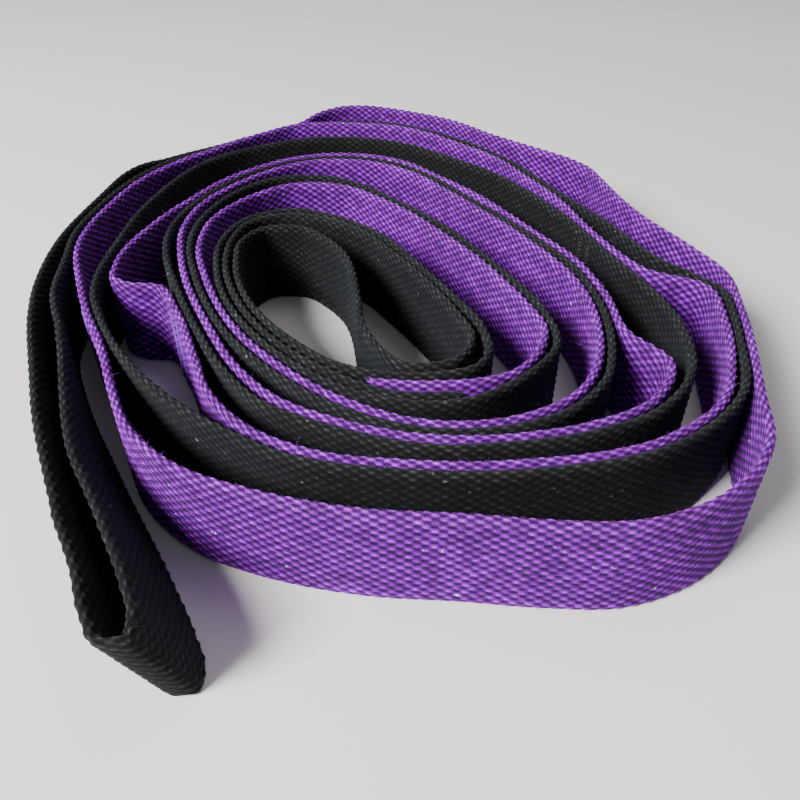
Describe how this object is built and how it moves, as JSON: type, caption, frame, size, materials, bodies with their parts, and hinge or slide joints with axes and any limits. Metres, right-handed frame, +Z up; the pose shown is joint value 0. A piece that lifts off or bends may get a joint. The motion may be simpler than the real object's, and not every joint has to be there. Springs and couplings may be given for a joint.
{
  "type": "multi-loop stretching strap",
  "caption": "Long two-layer woven strap with sewn grip loops and a handle loop at each end, resting as a loose coil on its edge.",
  "frame": {"origin": "centre of the bounding box, on the surface the coil rests on", "axes": "+Z up across the webbing, +Y towards the back of the coil as seen in the picture, +X to its right"},
  "size_m": [0.1912, 0.2586, 0.025],
  "materials": {
    "black_webbing": "matte woven",
    "purple_webbing": "matte woven",
    "thread": "spun thread"
  },
  "bodies": {
    "coil": {"black_tail_1": "black_webbing", "black_handle_1_outer": "black_webbing", "black_handle_1_inner": "black_webbing", "black_loop_1": "black_webbing", "black_loop_2": "black_webbing", "black_loop_3": "black_webbing", "black_loop_4": "black_webbing", "black_loop_5": "black_webbing", "black_loop_6": "black_webbing", "black_loop_7": "black_webbing", "black_loop_8_near": "black_webbing", "purple_loop_1": "purple_webbing", "purple_loop_2": "purple_webbing", "purple_loop_3": "purple_webbing", "purple_loop_4": "purple_webbing", "purple_loop_5": "purple_webbing", "purple_loop_6_right": "purple_webbing", "purple_loop_6_left": "purple_webbing", "purple_loop_7": "purple_webbing", "purple_loop_8_near": "purple_webbing", "tack_1": "thread", "tack_2": "thread", "tack_3": "thread", "tack_4": "thread", "tack_5": "thread", "tack_6": "thread", "tack_7": "thread", "tack_8": "thread"},
    "outer_run": {"black_loop_8_far": "black_webbing", "black_tail_2": "black_webbing", "purple_loop_8_far": "purple_webbing", "tack_9": "thread"},
    "outer_handle": {"black_handle_2_inner": "black_webbing", "black_handle_2_outer": "black_webbing"}
  },
  "joints": [
    {"name": "outer_run_peel", "type": "hinge", "parent": "coil", "child": "outer_run", "pos_m": [0.07164, 0.06076, 0.0125], "axis": [0, 0, 1], "range_deg": [-35, 0]},
    {"name": "outer_handle_swing", "type": "hinge", "parent": "outer_run", "child": "outer_handle", "pos_m": [-0.07986, 0.07276, 0.0125], "axis": [0, 0, 1], "range_deg": [-110, 0]}
  ]
}
